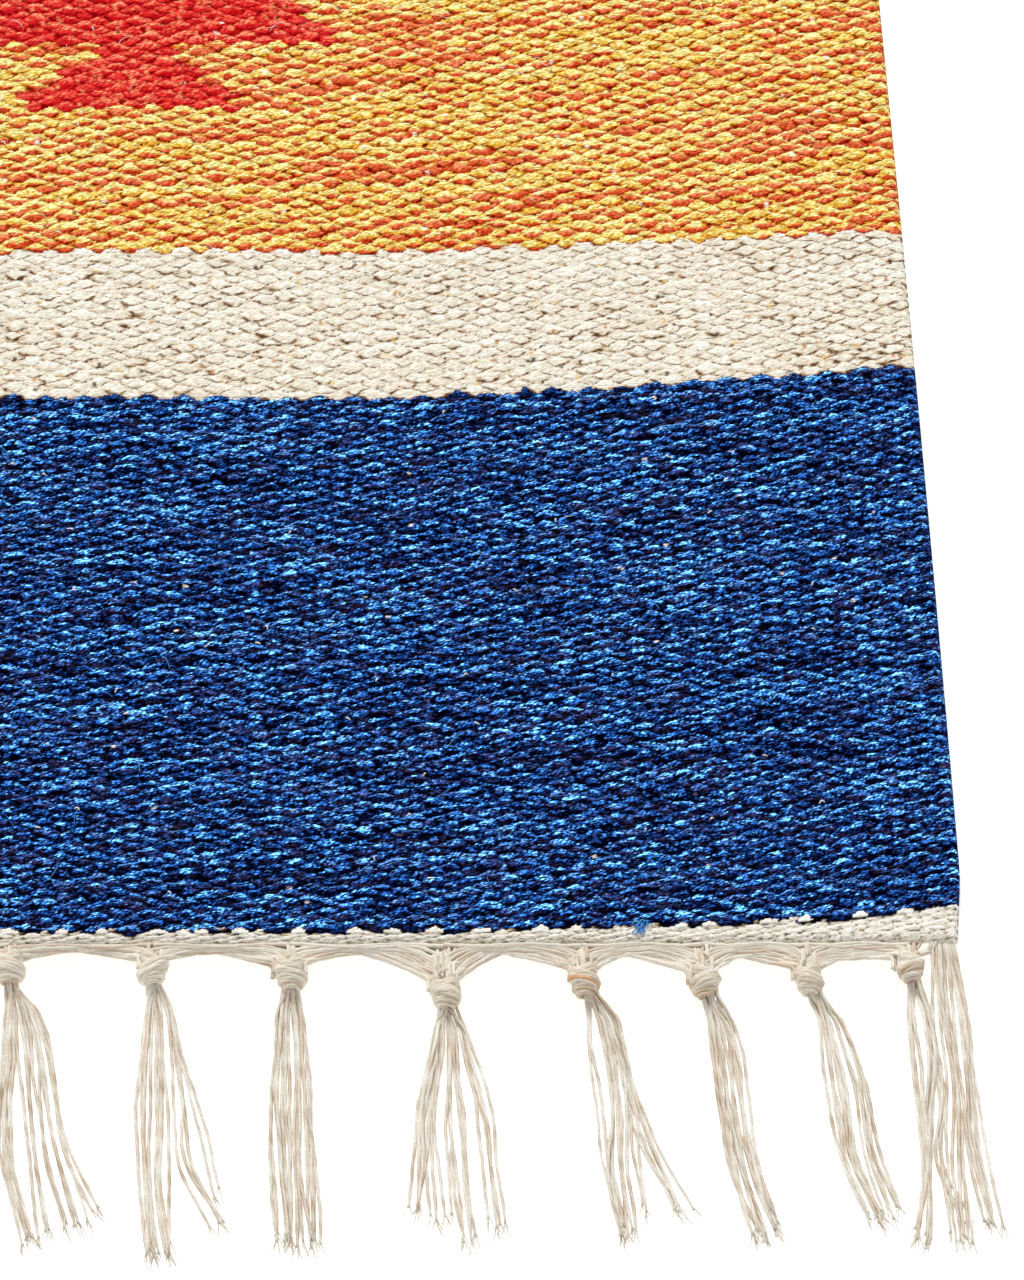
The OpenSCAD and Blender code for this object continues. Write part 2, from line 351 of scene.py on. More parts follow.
class Weave:
    """The highest pick at each point: its height over the middle plane and what it is."""

    def __init__(self, size):
        self.height = np.full(size, GAP_HEIGHT, np.float32)
        self.under = np.full(size, DEEP_HEIGHT, np.float32)  # height of the next pick down
        self.kind = np.full(size, -1, np.int8)
        self.warp, self.row = np.zeros((2, *size), np.int32)
        self.across, self.along = np.zeros((2, *size), np.float32)

    def add(self, warp_at, rib_at, side, columns, heading=None):
        """Lays the bumps of one lattice over what is there."""
        nearest = np.floor(warp_at).astype(np.int32)
        for step in (-1, 0, 1):
            warp = nearest + step
            offset = 0.25 + 0.5 * ((warp + side) & 1)
            for step_row in (0, 1):
                row = np.floor(rib_at - offset).astype(np.int32) + step_row
                self.lay(warp_at, rib_at, warp, row, offset, side, heading, columns)

    def lay(self, warp_at, rib_at, warp, row, offset, side, heading, columns):
        key = 7 if heading is None else 8
        kind = yarn_of(warp, row, offset) if heading is None else np.full(warp.shape, HEADING)
        spot = (warp, row, side)
        size = SIZE_LEAST + SIZE_MORE * chance(key, *spot)
        middle_warp = warp + 0.5 + jitter(WARP_JITTER, key + 2, *spot)
        along = (warp_at - middle_warp) / (SPAN[kind] * size)
        wander = jitter(RIB_JITTER, key + 4, *spot)
        lean = LEAN[kind] + jitter(LEAN_JITTER, key + 6, *spot)
        middle_row = row + offset + wander + lean * along + LIFT - SAG * along * along
        half = HALF_DEPTH * size * (1 - 0.5 * along * along)
        across = (rib_at - middle_row) / np.maximum(half, 0.05)
        inside = (np.abs(along) < 1) & (np.abs(across) < 1)
        if heading is None:
            inside &= (row >= 0) & (row < ALL_RIBS)
        else:
            inside &= heading
        inside &= (warp >= -1) & (warp <= columns)
        height = CREST[kind] - TUBE[kind] - ARCH[kind] * (1 - np.cos(along * math.pi / 2))
        height += TUBE[kind] * np.sqrt(np.clip(1 - across * across, 0, 1))
        height += HEIGHT_JITTER * (chance(key + 8, *spot) - 0.6)
        top = inside & (height > self.height)
        next_down = inside & ~top & (height > self.under)
        self.under[next_down] = height[next_down]
        self.under[top] = self.height[top]
        laid = {"height": height, "kind": kind, "warp": warp, "row": row, "across": across, "along": along}
        for name, values in laid.items():
            getattr(self, name)[top] = values[top]


CRACK_SHADE_DEPTH = 0.42  # a point gets no painted crevice shade when the next pick is further down than this
FIBRE_L = 1.3
DIM_BLUE = 0.355  # evens out the brightness that the painted shine on the blue yarn adds
DEEPER_SHADE_FROM = 140  # right of this, the painted shade in the cream band's cracks gets darker and browner


def look(weave, x, zone, side):
    """Strand detail added to the heights, and the linear colour of each point."""
    bare = weave.kind < 0
    kind = np.where(bare, zone, weave.kind)
    pick = 2 * weave.row + ((weave.warp + side) & 1) + 5000 * (kind == HEADING) + 9000 * side
    across, along = weave.across, weave.along
    # painted shade in the crevices, where a pick meets the next one down
    crack_shade = 1 - smooth(0.0, CRACK_SHADE_DEPTH, weave.height - weave.under)
    turned = np.clip((across + 0.22 * along + 1) / 2, 0, 0.999)
    plies = PLIES[kind]
    strand = np.floor(turned * plies)
    in_strand = 2 * (turned * plies - strand) - 1
    ridge = np.sqrt(np.clip(1 - in_strand**2, 0, 1))
    bump = weave.warp * 613 + weave.row
    phase = x / CORD_TWIST[kind] - 1.1 * across + chance(31, bump, strand)
    twist = np.sin(2 * math.pi * phase)
    weave.height += np.where(bare, 0, GROOVE[kind] * (ridge - 0.7) * (1 - across**2))
    weave.height += np.where(bare, 0, TWIST_H[kind] * twist * (1 - across**2))

    away = np.abs(along)
    # painted light: brighter towards the far side of a bump, less so towards its ends
    crest = smooth(LIT_FROM[kind], LIT_TO[kind], across) * (1 - 0.3 * smooth(0.6, 1.0, away))
    fibre = x / FIBRE_L - 1.4 * across
    grain = chance(41, np.floor(fibre), np.floor(across * 6 + 0.8 * along), bump) - 0.5
    slow = drift(42, x / 22, pick, strand) - 0.5
    # The level paints light and shade into the colour: painted light on the crests, plies and twist ridges
    # and painted shade in the crevices; the grain and slow drift are the yarn's own uneven tone.
    level = BODY[kind] + RISE[kind] * crest + PLY_GAIN[kind] * ridge + TWIST_GAIN[kind] * twist
    # the crevices' painted shade falls mostly on the lower side of a bump
    shaded = 0.25 + 0.75 * smooth(0.35, -0.15, across)
    open_gap = 0.30 + 0.7 * drift(43, x / 2.6, pick) + 0.7 * drift(44, x / 40, pick)
    level -= CRACK_SHADE[kind] * crack_shade * shaded * open_gap * (1 - 0.8 * smooth(0.35, 0.85, away))
    level += GRAIN_GAIN[kind] * grain + DRIFT_GAIN[kind] * slow
    # painted shine: stretches of blue strand painted brighter, standing for glints on the fibres
    shine = 0.24 * drift(51, x / 3.5, pick, strand) + 0.30 * drift(54, x / 50, pick)
    shine += 0.05 * cloud(55, x / 25, weave.row / 6)
    level += np.where(kind == BLUE, shine - DIM_BLUE, 0)
    # painted shade: the cream band's crevices are painted darker towards the right selvedge
    deeper_crack_shade = 0.14 * crack_shade * shaded * smooth(DEEPER_SHADE_FROM, HALF_W, x)
    level -= np.where(kind == CREAM, deeper_crack_shade - 0.01, 0)
    # painted shade: bare points deep between the picks are painted darker than a bump's foot
    level = np.where(bare, 0.7 * BODY[kind], level)

    colour = np.zeros(x.shape + (3,), np.float32)
    for number, name in ((HEADING, "heading"), (BLUE, "blue"), (CREAM, "cream"), (RED, "red")):
        at = kind == number
        colour[at] = ramp(name, level[at])
    paint_violet(colour, kind == BLUE, level, x, pick, strand)
    paint_gold(colour, kind == GOLD, level, x, weave.row, pick, across, along, bump)
    fleck = paint_flecks(colour, kind, bare, x, pick, strand, in_strand)
    own = np.where(kind == BLUE, 1 - fleck, 0)
    return np.concatenate([np.clip(colour, 0, 1), own[:, None]], axis=1)


def paint_violet(colour, at, level, x, pick, strand):
    """Stretches of dull violet-grey strand among the blue ones."""
    grey = 0.42 * smooth(0.60, 0.78, drift(53, x[at] / 12, pick[at], strand[at]))[:, None]
    # the violet stretches keep the painted light and shade of the level
    dim = 0.2 + 0.8 * np.clip(level[at], 0, 1)[:, None]
    colour[at] = colour[at] * (1 - grey) + grey * srgb(46, 42, 78) * dim


def paint_gold(colour, at, level, x, row, pick, across, along, bump):
    """Each pick is a gold strand over a coral one, and coral takes over in streaks."""
    streak = cloud(61, x[at] / 48 + row[at] * 0.12, row[at] / 1.1)
    own = drift(62, x[at] / 26, pick[at])
    split = -0.13 + 1.6 * (0.5 * streak + 0.5 * own - 0.5) + jitter(0.3, 63, bump[at])
    uneven = 0.34 * (drift(64, x[at] / 2.2, pick[at]) - 0.5)
    coral = smooth(split + 0.14, split - 0.14, across[at] - 0.15 * along[at] + uneven)[:, None]
    colour[at] = ramp("gold", level[at] + 0.08) * (1 - coral) + ramp("coral", level[at] + 0.16) * coral


FLECK_L = 2.4
# Other fibres in each kind of yarn: (display colour, share of the yarn)
FLECKS = {
    HEADING: (((70, 52, 36), 0.006), ((236, 190, 96), 0.004)),
    BLUE: (((200, 204, 214), 0.0012), ((60, 66, 110), 0.010)),
    CREAM: (((60, 42, 30), 0.005), ((205, 150, 100), 0.03), ((240, 206, 120), 0.008)),
    GOLD: (((255, 250, 236), 0.009), ((150, 60, 20), 0.010)),
    RED: (((255, 236, 226), 0.005), ((246, 140, 96), 0.10), ((120, 20, 10), 0.05)),
}


def paint_flecks(colour, kind, bare, x, pick, strand, in_strand):
    """Short slivers of another fibre spun into the yarn. Returns how much of each point is one."""
    fleck = np.zeros(x.shape, np.float32)
    for number, kinds in FLECKS.items():
        at = (kind == number) & ~bare
        for index, (shade, share) in enumerate(kinds):
            place = x[at] / FLECK_L + 40 * chance(70 + index, pick[at], strand[at])
            found = chance(80 + index, np.floor(place), pick[at], strand[at]) < share
            soft = found * smooth(0.5, 0.15, np.abs(place - np.floor(place) - 0.5))
            soft = 0.9 * (soft * smooth(0.7, 0.3, np.abs(in_strand[at])))[:, None]
            colour[at] = colour[at] * (1 - soft) + soft * srgb(*shade)
            fleck[at] = np.maximum(fleck[at], soft[:, 0])
    return fleck


CUSP_PITCH = 17.0
CUSP_SHARE = 0.85  # of the places that have one
CUSP_TOP = 3.1


def add_cusps(weave, x, over):
    """Small cusps where the heading's cords poke up between the first blue picks."""
    cell = np.floor(x / CUSP_PITCH)
    middle = (cell + 0.5 + jitter(0.5, 33, cell)) * CUSP_PITCH
    away = np.abs(x - middle) / (2.0 + 1.2 * chance(34, cell))
    tall = 0.9 + 1.3 * chance(35, cell)
    share = over / (tall * np.clip(1 - away, 0.01, 1) ** 0.8)
    there = (away < 1) & (share < 1) & (over > -1.2) & (chance(36, cell) < CUSP_SHARE)
    height = CUSP_TOP - 0.9 * np.clip(share, 0, 1) ** 2 + 0.3 * (1 - away)
    top = there & (height > weave.height)
    weave.height[top] = height[top]
    weave.under[top] = 0
    weave.kind[top] = HEADING
    weave.across[top] = 0.5
    weave.along[top] = 0


def surface(x, y, rib, side):
    """Heights over the middle plane and colours of one face of the cloth. side is 0 on top."""
    warp_at = (x + HALF_W) / PITCH
    sway = wobble(0.46, 21 + side, x / 60, rib / 9) + wobble(0.12, 23, x / 15, rib / 3)
    sideways = wobble(0.22, 25 + side, x / 60, rib / 5)
    weave = Weave(x.shape)
    for end in (1, -1):
        depth = HALF_L + end * y
        limit = band_edges(end * x)[0]
        near = depth < limit + 8
        if near.any():
            part = Weave(x[near].shape)
            cords = depth[near] / HEADING_RIB + 0.3 * sway[near]
            split_at = (end * x[near] + HALF_W) / PITCH * HEADING_SPLIT
            part.add(split_at, cords, side, WARPS * HEADING_SPLIT, cords * HEADING_RIB < limit[near] + 0.9)
            for name, values in vars(part).items():
                getattr(weave, name)[near] = values
    ragged = wobble(0.17, 27 + side, x / 2.2, rib / 0.16)
    lumpy = wobble(0.24, 29 + side, x / 4.4, rib / 0.6)
    nudge = wobble(0.20, 19 + side, x / 2.0, rib / 0.2)
    weave.add(warp_at + sideways + nudge, rib + sway + ragged + lumpy, side, WARPS)
    for end in (1, -1):
        add_cusps(weave, x, HALF_L + end * y - band_edges(end * x)[0])
    zone = yarn_of(np.floor(warp_at).astype(int), np.floor(rib).astype(int), 0.5)
    colour = look(weave, x, zone, side)
    return weave.height, colour


# --- Meshes ---
def make_mesh(name, points, faces, sizes, colours, flat=None):
    """A mesh from flat arrays: corner indices, the corners in each face, a colour for each point."""
    mesh = bpy.data.meshes.new(name)
    mesh.vertices.add(len(points))
    mesh.vertices.foreach_set("co", (np.asarray(points, np.float64) * MM).astype(np.float32).ravel())
    mesh.loops.add(len(faces))
    mesh.loops.foreach_set("vertex_index", np.asarray(faces, np.int32))
    mesh.polygons.add(len(sizes))
    starts = np.concatenate([[0], np.cumsum(sizes)[:-1]]).astype(np.int32)
    mesh.polygons.foreach_set("loop_start", starts)
    mesh.update(calc_edges=True)
    mesh.shade_smooth()
    if flat is not None:
        sharp = mesh.attributes.new("sharp_face", "BOOLEAN", "FACE")
        sharp.data.foreach_set("value", flat)
    shade = mesh.attributes.new("yarn", "FLOAT_COLOR", "POINT")
    rgba = np.ones((len(points), 4), np.float32)
    rgba[:, :colours.shape[1]] = colours
    shade.data.foreach_set("color", rgba.ravel())
    return mesh


def new_object(name, data):
    made = bpy.data.objects.new(name, data)
    bpy.context.scene.collection.objects.link(made)
    return made


def add_piece(name, mesh, material, nodes=()):
    piece = new_object(name, mesh)
    mesh.materials.append(material)
    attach(piece, "root")
    if nodes:
        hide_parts(*nodes)
    return piece


def roll(distance):
    """Angle of a point that lies within the rounded edge, from 0 on the face to 90 degrees."""
    return np.clip(distance / HALF_T, 0, 1) * math.pi / 2


def widened(x, y):
    """The cloth's own X: it is a little wider towards its ends, and drawn in at the very end."""
    depth = HALF_L - np.abs(y)
    extra = END_WIDER * np.clip(1 - (depth / WIDER_FROM) ** 2, 0, 1)
    extra -= DRAWN_IN * smooth(DRAWN_FROM, 0, depth)
    return x * (1 + extra / HALF_W)


EDGE_DIP = 0.55  # how far the rounded edges lie inside the CAD's
EDGE_WAVE = 0.5  # height of the picks' turns along the selvedges


def placed(x, y, height, side, rib):
    """Points in space: the faces roll round into each other at the selvedges and ends."""
    over_x = np.abs(x) - (HALF_W - HALF_T)
    over_y = np.abs(y) - (HALF_L - HALF_T)
    turn_x, turn_y = roll(over_x), roll(over_y)
    edge = HALF_T - EDGE_DIP + EDGE_WAVE * np.abs(np.cos(math.pi * (rib - 0.1))) * (turn_x > 0)
    blend = np.maximum(turn_x, turn_y) / (math.pi / 2)
    reach = height + (edge - height) * blend**3
    up = np.cos(turn_x) * np.cos(turn_y)
    px = np.where(over_x > 0, np.sign(x) * (HALF_W - HALF_T + reach * np.sin(turn_x)), x)
    py = np.where(over_y > 0, np.sign(y) * (HALF_L - HALF_T + reach * np.sin(turn_y)), y)
    pz = np.maximum(MIDDLE + (-reach if side else reach) * up, 0)
    return np.stack([widened(px, py), py, pz], axis=-1)


class Face:
    """One face of a piece of cloth: a grid over its cells, each cell a warp by a rib."""

    def __init__(self, cells, first_rib, per_warp, per_rib, side, place):
        rows, columns = cells.shape
        self.per_warp, self.per_rib = per_warp, per_rib
        warps = [c + np.arange(per_warp[c]) / per_warp[c] for c in range(columns)]
        self.warp_lines = np.concatenate(warps + [[columns]])
        self.rib_lines = first_rib + np.arange(rows * per_rib + 1) / per_rib
        self.warp_start = np.concatenate([[0], np.cumsum(per_warp)]).astype(int)
        wide = len(self.warp_lines)
        warp_of = np.repeat(np.arange(columns), per_warp)
        rib_of = np.repeat(np.arange(rows), per_rib)
        j, i = np.nonzero(cells[rib_of][:, warp_of])
        corner = j * wide + i
        quads = np.stack([corner, corner + 1, corner + wide + 1, corner + wide], axis=1)
        used = np.zeros(wide * len(self.rib_lines), bool)
        used[quads.ravel()] = True
        self.number = np.cumsum(used) - 1
        self.wide = wide
        self.quads = self.number[quads if side == 0 else quads[:, ::-1]]
        at = np.nonzero(used)[0]
        x = self.warp_lines[at % wide] * PITCH - HALF_W
        rib = self.rib_lines[at // wide]
        y, rib = place(x, rib)
        flat_x, flat_y = unrolled(x, HALF_W), unrolled(y, HALF_L)
        height, self.colour = surface(flat_x, flat_y, rib, side)
        self.points = placed(x, y, height, side, rib)

    def line(self, row, warp, upright):
        """Point numbers along one side of a cell: its near edge, or its left one if upright."""
        if upright:
            rows = row * self.per_rib + np.arange(self.per_rib + 1)
            return self.number[rows * self.wide + self.warp_start[warp]]
        first = self.warp_start[warp]
        steps = np.arange(self.per_warp[warp] + 1)
        return self.number[row * self.per_rib * self.wide + first + steps]


def unrolled(value, half):
    """Where a point of a rounded edge would lie if the cloth's face went on flat."""
    over = np.clip(np.abs(value) - (half - HALF_T), 0, None)
    return value + np.sign(value) * over * (math.pi / 2 - 1)


def cloth_mesh(name, cells, first_rib, dense, place):
    """A closed piece of cloth from a grid of cells. dense is (near warps' steps, others, rib's)."""
    columns = cells.shape[1]
    near = np.arange(columns) >= NEAR_WARP
    per_warp = np.where(near, dense[0], dense[1])
    top = Face(cells, first_rib, per_warp, dense[2], 0, place)
    low = Face(cells, first_rib, np.full(columns, 3), 3, 1, place)
    base = len(top.points)
    padded = np.pad(cells, 1)
    walls = []
    for row, warp in np.argwhere(padded[1:, 1:-1] != padded[:-1, 1:-1]):
        walls.append((row, warp, False, padded[row + 1, warp + 1]))
    for row, warp in np.argwhere(padded[1:-1, 1:] != padded[1:-1, :-1]):
        walls.append((row, warp, True, not padded[row + 1, warp + 1]))
    corners, sizes = [], []
    for row, warp, upright, forward in walls:
        over, under = top.line(row, warp, upright), low.line(row, warp, upright) + base
        ring = np.concatenate([under, over[::-1]]) if forward else np.concatenate([over, under[::-1]])
        corners.append(ring)
        sizes.append(len(ring))
    points = np.concatenate([top.points, low.points])
    colours = np.concatenate([top.colour, low.colour])
    quads = np.concatenate([top.quads, low.quads + base])
    faces = np.concatenate([quads.ravel(), *corners])
    all_sizes = np.concatenate([np.full(len(quads), 4), sizes]).astype(np.int64)
    flat = np.zeros(len(all_sizes), bool)
    flat[len(quads):] = True
    return make_mesh(name, points, faces, all_sizes, colours, flat)


# --- Materials ---
FIBRE_SIZE = (2.0, 0.36, 0.70)
FIBRE_TURN = math.radians(16)
NOISE_LOW, NOISE_HIGH = (0.40, 0.40, 0.40), (0.62, 0.62, 0.62)  # the part of the noise that is used


def new_material(name, **inputs):
    """A material with its shader's plain inputs set."""
    material = bpy.data.materials.new(name)
    material.use_nodes = True
    shader = material.node_tree.nodes["Principled BSDF"]
    set_inputs(shader, **inputs)
    return material, shader, material.node_tree.nodes, material.node_tree.links


def set_inputs(node, **inputs):
    """Sets a node's plain inputs. An underscore in a name stands for a space."""
    for name, value in inputs.items():
        node.inputs[name.replace("_", " ")].default_value = value


def new_node(nodes, kind, **inputs):
    node = nodes.new("ShaderNode" + kind)
    set_inputs(node, **inputs)
    return node


# Roughness and gloss of each yarn, the factors on its colour at its darkest and brightest fibres,
# and whether the flecks in it are left out of that
YARNS = {
    # The blue yarn's wide factors are partly its fibres' own uneven tone and partly painted glints on the
    # brightest fibres and painted shade on the darkest.
    "blue_weft": (0.8, 0.01, (-3.2, -1.8, -1.0), (9.6, 6.8, 4.8), True),
    "cream_weft": (0.9, 0.05, (0.76, 0.71, 0.62), (1.16, 1.17, 1.20), False),
    "gold_weft": (0.88, 0.03, (0.58, 0.44, 0.20), (1.38, 1.52, 1.85), False),
    "red_weft": (0.88, 0.02, (0.66, 0.20, 0.30), (1.40, 1.95, 1.75), False),
    "heading_cord": (0.9, 0.05, (0.76, 0.72, 0.66), (1.16, 1.17, 1.19), False),
    "fringe_cord": (0.9, 0.05, (0.92, 0.91, 0.89), (1.07, 1.07, 1.07), False),
    "warp_cord": (0.9, 0.05, (0.92, 0.91, 0.89), (1.07, 1.07, 1.07), False),
    "lint": (0.9, 0.05, (0.95, 0.95, 0.95), (1.05, 1.05, 1.05), False),
}


def yarn_material(name):
    """Spun cotton: the woven-in colour, made darker or brighter by fibres that lean to the right."""
    rough, gloss, dark, bright, own_only = YARNS[name]
    material, shader, nodes, links = new_material(name, Specular_IOR_Level=gloss)
    colour = new_node(nodes, "Attribute")
    colour.attribute_name = "yarn"
    place = new_node(nodes, "TexCoord")
    scale = [length * MM for length in FIBRE_SIZE]
    stretch = new_node(nodes, "Mapping", Scale=scale, Rotation=(0, 0, FIBRE_TURN))
    stretch.vector_type = "TEXTURE"
    fibres = new_node(nodes, "TexNoise", Scale=1, Detail=2)
    links.new(place.outputs["Object"], stretch.inputs["Vector"])
    links.new(stretch.outputs["Vector"], fibres.inputs["Vector"])
    vary = new_node(nodes, "MapRange")
    vary.data_type = "FLOAT_VECTOR"
    sockets = {socket.identifier: socket for socket in vary.inputs}
    limits = {"From_Min": NOISE_LOW, "From_Max": NOISE_HIGH, "To_Min": dark, "To_Max": bright}
    for limit, value in limits.items():
        sockets[limit + "_FLOAT3"].default_value = value
    links.new(fibres.outputs["Fac"], sockets["Vector"])
    mix = new_node(nodes, "VectorMath")
    mix.operation = "MULTIPLY"
    links.new(colour.outputs["Color"], mix.inputs[0])
    links.new(vary.outputs["Vector"], mix.inputs[1])
    if own_only:
        own = new_node(nodes, "Mix")
        own.data_type = "VECTOR"
        own.inputs[4].default_value = (1, 1, 1)
        links.new(colour.outputs["Alpha"], own.inputs["Factor"])
        links.new(vary.outputs["Vector"], own.inputs[5])
        links.new(own.outputs[1], mix.inputs[1])
    links.new(mix.outputs["Vector"], shader.inputs["Base Color"])
    dull = new_node(nodes, "MapRange", To_Min=rough - 0.08, To_Max=min(rough + 0.08, 1))
    links.new(fibres.outputs["Fac"], dull.inputs["Value"])
    links.new(dull.outputs["Result"], shader.inputs["Roughness"])
    bump = new_node(nodes, "Bump", Strength=0.5, Distance=0.3 * MM)
    links.new(fibres.outputs["Fac"], bump.inputs["Height"])
    links.new(bump.outputs["Normal"], shader.inputs["Normal"])
    return material


def floor_material():
    material, shader, nodes, links = new_material("pale_floor", Roughness=0.9, Specular_IOR_Level=0.1)
    set_inputs(shader, Emission_Color=(1, 1, 1, 1), Emission_Strength=0.5)
    noise = new_node(nodes, "TexNoise", Scale=3)
    tint = new_node(nodes, "MixRGB", Color1=(0.90, 0.90, 0.90, 1), Color2=(0.92, 0.92, 0.92, 1))
    links.new(noise.outputs["Fac"], tint.inputs["Fac"])
    links.new(tint.outputs["Color"], shader.inputs["Base Color"])
    return material


# --- Cloth pieces ---
NEAR_WARP = 36  # the first warp of the finely made side
FINE, PLAIN = (12, 5, 10), (4, 4, 4)  # steps of the mesh: to a near warp, to another warp, to a rib
FINE_HEADING, PLAIN_HEADING = (12, 6, 24), (4, 4, 12)
NEAR_CUT, FAR_CUT = BAND_RIBS + 30, ALL_RIBS // 2 + 60  # ribs where the field's mesh is parted
FIELD_RIB = 2 * (HALF_L - CREAM_END) / GOLD_RIBS


def along_ribs(x, rib):
    return rib_y(x, rib), rib


def front_heading(x, rib):
    """The heading's grid has one row of cells, whose depth follows the blue band's edge."""
    y = rib * band_edges(x)[0] - HALF_L
    return y, heading_rib_at(x, y)


def back_heading(x, rib):
    y, at = front_heading(-x, 1 - rib)
    return -y, ALL_RIBS - at


def whole_rows(first, last):
    return np.ones((last - first, WARPS), bool)


def field_cells(first, last, number):
    """Cells of the field between two ribs that belong to one motif, or to none."""
    rows = np.arange(first, last)[:, None]
    return motif_number(np.arange(WARPS)[None, :], rows) == number


def make_cloth():
    """The headings, and each sheet of weft with its flat size and its area, where it is cut."""
    yarns = {name: yarn_material(name) for name in YARNS if "weft" in name or "heading" in name}
    headings, sheets = {}, {}

    def sheet(name, node, cells, first, dense, slot, depth=None):
        piece = add_piece(name, cloth_mesh(name, cells, first, dense, along_ribs), yarns[slot], [node])
        width = float(cells.any(axis=0).sum() * PITCH)
        area = None if depth else float(cells.sum() * PITCH * FIELD_RIB * MM * MM)
        depth = depth or len(cells) * FIELD_RIB
        sheets[name] = piece, (width * MM, depth * MM), area

    for end, place, dense in (("front", front_heading, FINE_HEADING), ("back", back_heading, PLAIN_HEADING)):
        node = f"heading_{end}"
        mesh = cloth_mesh(node + "_cords", whole_rows(0, 1), 0, dense, place)
        headings[end] = add_piece(mesh.name, mesh, yarns["heading_cord"], [node])
    last = ALL_RIBS
    bands = (
        ("blue_band_front", 0, BLUE_RIBS, FINE, "blue_weft"),
        ("cream_band_front", BLUE_RIBS, BAND_RIBS, FINE, "cream_weft"),
        ("cream_band_back", last - BAND_RIBS, last - BLUE_RIBS, PLAIN, "cream_weft"),
        ("blue_band_back", last - BLUE_RIBS, last, PLAIN, "blue_weft"),
    )
    for node, first, end, dense, slot in bands:
        depth = BLUE_END - HEADING_L if "blue" in node else CREAM_END - BLUE_END
        sheet(node + "_cloth", node, whole_rows(first, end), first, dense, slot, depth)
    stretches = (
        ("near", BAND_RIBS, NEAR_CUT, FINE), ("middle", NEAR_CUT, FAR_CUT, PLAIN),
        ("far", FAR_CUT, last - BAND_RIBS, PLAIN),
    )
    for word, first, end, dense in stretches:
        sheet(f"gold_field_{word}", "gold_field", field_cells(first, end, 0), first, dense, "gold_weft")
    motifs = ("front_outer", "front_inner", "middle", "back_inner", "back_outer")
    for number, word in enumerate(motifs, 1):
        cells = field_cells(0, last, number)
        rows = np.nonzero(cells.any(axis=1))[0]
        node, dense = f"red_motif_{word}", FINE if number == 1 else PLAIN
        sheet(node + "_cloth", node, cells[rows[0]:rows[-1] + 1], rows[0], dense, "red_weft")
    return headings, sheets


# --- Strands ---
def tubes(paths, radius, sides, facing, lobes, lay):
    """Closed two-ply strands along paths, an array of strands by points by 3. radius may vary.

    lobes is how far the plies stand out, and lay is the length of one turn of their twist.
    """
    count, length, _ = paths.shape
    step = np.gradient(paths, axis=1)
    step /= np.linalg.norm(step, axis=2, keepdims=True) + 1e-9
    side = np.cross(step, facing)
    side /= np.linalg.norm(side, axis=2, keepdims=True) + 1e-9
    up = np.cross(side, step)
    gone = np.cumsum(np.linalg.norm(np.diff(paths, axis=1, prepend=paths[:, :1]), axis=2), axis=1)
    angle = np.arange(sides) / sides * 2 * math.pi
    spin = 2 * math.pi * gone[:, :, None] / lay
    shape = 1 + lobes * np.cos(2 * angle[None, None, :] - spin)
    reach = np.broadcast_to(np.asarray(radius, float), (count, length))[:, :, None] * shape
    ring = side[:, :, None] * np.cos(angle)[:, None] + up[:, :, None] * np.sin(angle)[:, None]
    points = paths[:, :, None] + reach[..., None] * ring
    index = np.arange(count * length * sides).reshape(count, length, sides)
    after = np.roll(index, -1, axis=2)
    quads = np.stack([index[:, :-1], after[:, :-1], after[:, 1:], index[:, 1:]], axis=-1).reshape(-1, 4)
    caps = np.concatenate([index[:, 0, ::-1], index[:, -1]])
    groove = (shape - 1) / max(lobes, 1e-3)
    return points.reshape(-1, 3), quads, caps, groove.reshape(-1)


BROWN_SHADE_TINT = srgb(200, 164, 126) / srgb(236, 228, 214)  # painted shade: tint of a strand's brownish stretches


class Bundle:
    """Collects strands into one mesh."""

    def __init__(self):
        self.parts, self.total = [], 0

    def add(self, paths, radius, shade, seed, sides=8, facing=(0, 0, 1), lobes=0.10, lay=7):
        points, quads, caps, groove = tubes(np.asarray(paths, float), radius, sides, facing, lobes, lay)
        corners = np.concatenate([quads.ravel(), caps.ravel()]) + self.total
        sizes = np.repeat((4, sides), (len(quads), len(caps)))
        self.total += len(points)
        number = np.arange(len(points)) // (len(points) // len(paths))
        place = points[:, 1] / 8 + 50 * chance(seed, number)
        # painted light and shade: brighter where a ply stands out and darker in the groove between the
        # plies; the drift is the strand's own uneven tone
        level = 0.62 + 0.14 * groove + 0.45 * (drift(seed + 1, place, number) - 0.5)
        tone = ramp(shade, level)
        # painted shade: brownish stretches along each strand, deepest on its two sides where it lies against
        # the next strand
        edge = np.abs(np.cos(np.arange(len(points)) % sides / sides * 2 * math.pi))
        patch = drift(seed + 2, points[:, 1] / 11 + 50 * chance(seed + 3, number), number)
        brown_shade = 0.8 * (smooth(0.50, 0.85, patch) * (0.25 + 0.6 * edge))[:, None]
        self.parts.append((points, corners, sizes, tone * (1 - brown_shade) + brown_shade * tone * BROWN_SHADE_TINT))

    def piece(self, name, material, slot, nodes, turned):
        points, *rest = (np.concatenate(part) for part in zip(*self.parts))
        if turned:
            points = points * (-1, -1, 1)
        return add_piece(name, make_mesh(name, points, *rest), material, nodes)


def group_left(i):
    return PITCH * sum(TASSEL_WARPS[:i]) - HALF_W


def knot_place(i):
    """Middle of a tassel's knot, in X and Y."""
    return group_left(i) + TASSEL_WARPS[i] * PITCH / 2 + KNOT_SHIFT[i], -HALF_L - KNOT_DROP[i]


def mouth_depth(i):
    """Distance from the end of the cloth to where the web's strands enter a knot."""
    return KNOT_DROP[i] - KNOT_L / 2 + 1.5


